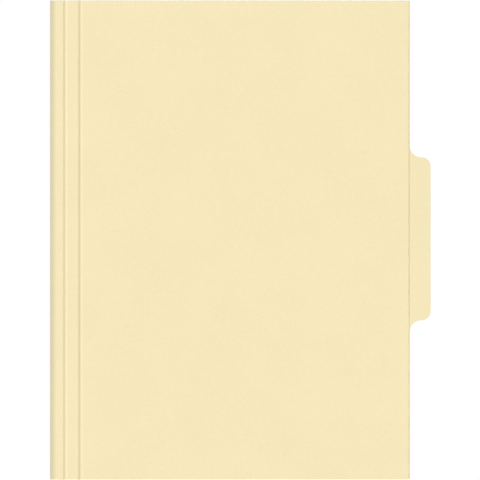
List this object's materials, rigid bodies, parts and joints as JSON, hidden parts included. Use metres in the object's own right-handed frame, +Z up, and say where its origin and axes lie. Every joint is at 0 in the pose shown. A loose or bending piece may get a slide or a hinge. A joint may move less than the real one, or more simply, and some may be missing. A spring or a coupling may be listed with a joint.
{
  "type": "file folder",
  "caption": "Closed manila file folder cut from one sheet of card, with a centre index tab on the back panel, a main fold and two pressed score lines for a squared-off bottom.",
  "frame": {"origin": "under the middle of the closed folder, on the plane that its back panel lies on", "axes": "+X from the fold to the index tab, +Y along the fold, +Z up from the back panel through the front panel"},
  "size_m": [0.2372, 0.2984, 0.0022],
  "materials": {
    "manila_card": "matte",
    "creased_card": "matte"
  },
  "bodies": {
    "back": {"back_panel": "manila_card", "fold_crease": "creased_card"},
    "inner_strip": {"inner_spine_strip": "manila_card", "first_score": "creased_card"},
    "outer_strip": {"outer_spine_strip": "manila_card", "second_score": "creased_card"},
    "cover": {"front_panel": "manila_card"}
  },
  "joints": [
    {"name": "cover_opening", "type": "hinge", "parent": "back", "child": "inner_strip", "pos_m": [-0.11846, 0, 0.00098], "axis": [0, -1, 0], "range_deg": [0, 179.8], "deforming": ["fold_crease"]},
    {"name": "first_score_bend", "type": "hinge", "parent": "inner_strip", "child": "outer_strip", "pos_m": [-0.10917, 0, 0.00179], "axis": [0, -1, 0], "range_deg": [0, 90], "deforming": ["first_score"]},
    {"name": "second_score_bend", "type": "hinge", "parent": "outer_strip", "child": "cover", "pos_m": [-0.09977, 0, 0.00175], "axis": [0, -1, 0], "range_deg": [0, 90], "deforming": ["second_score"]}
  ]
}
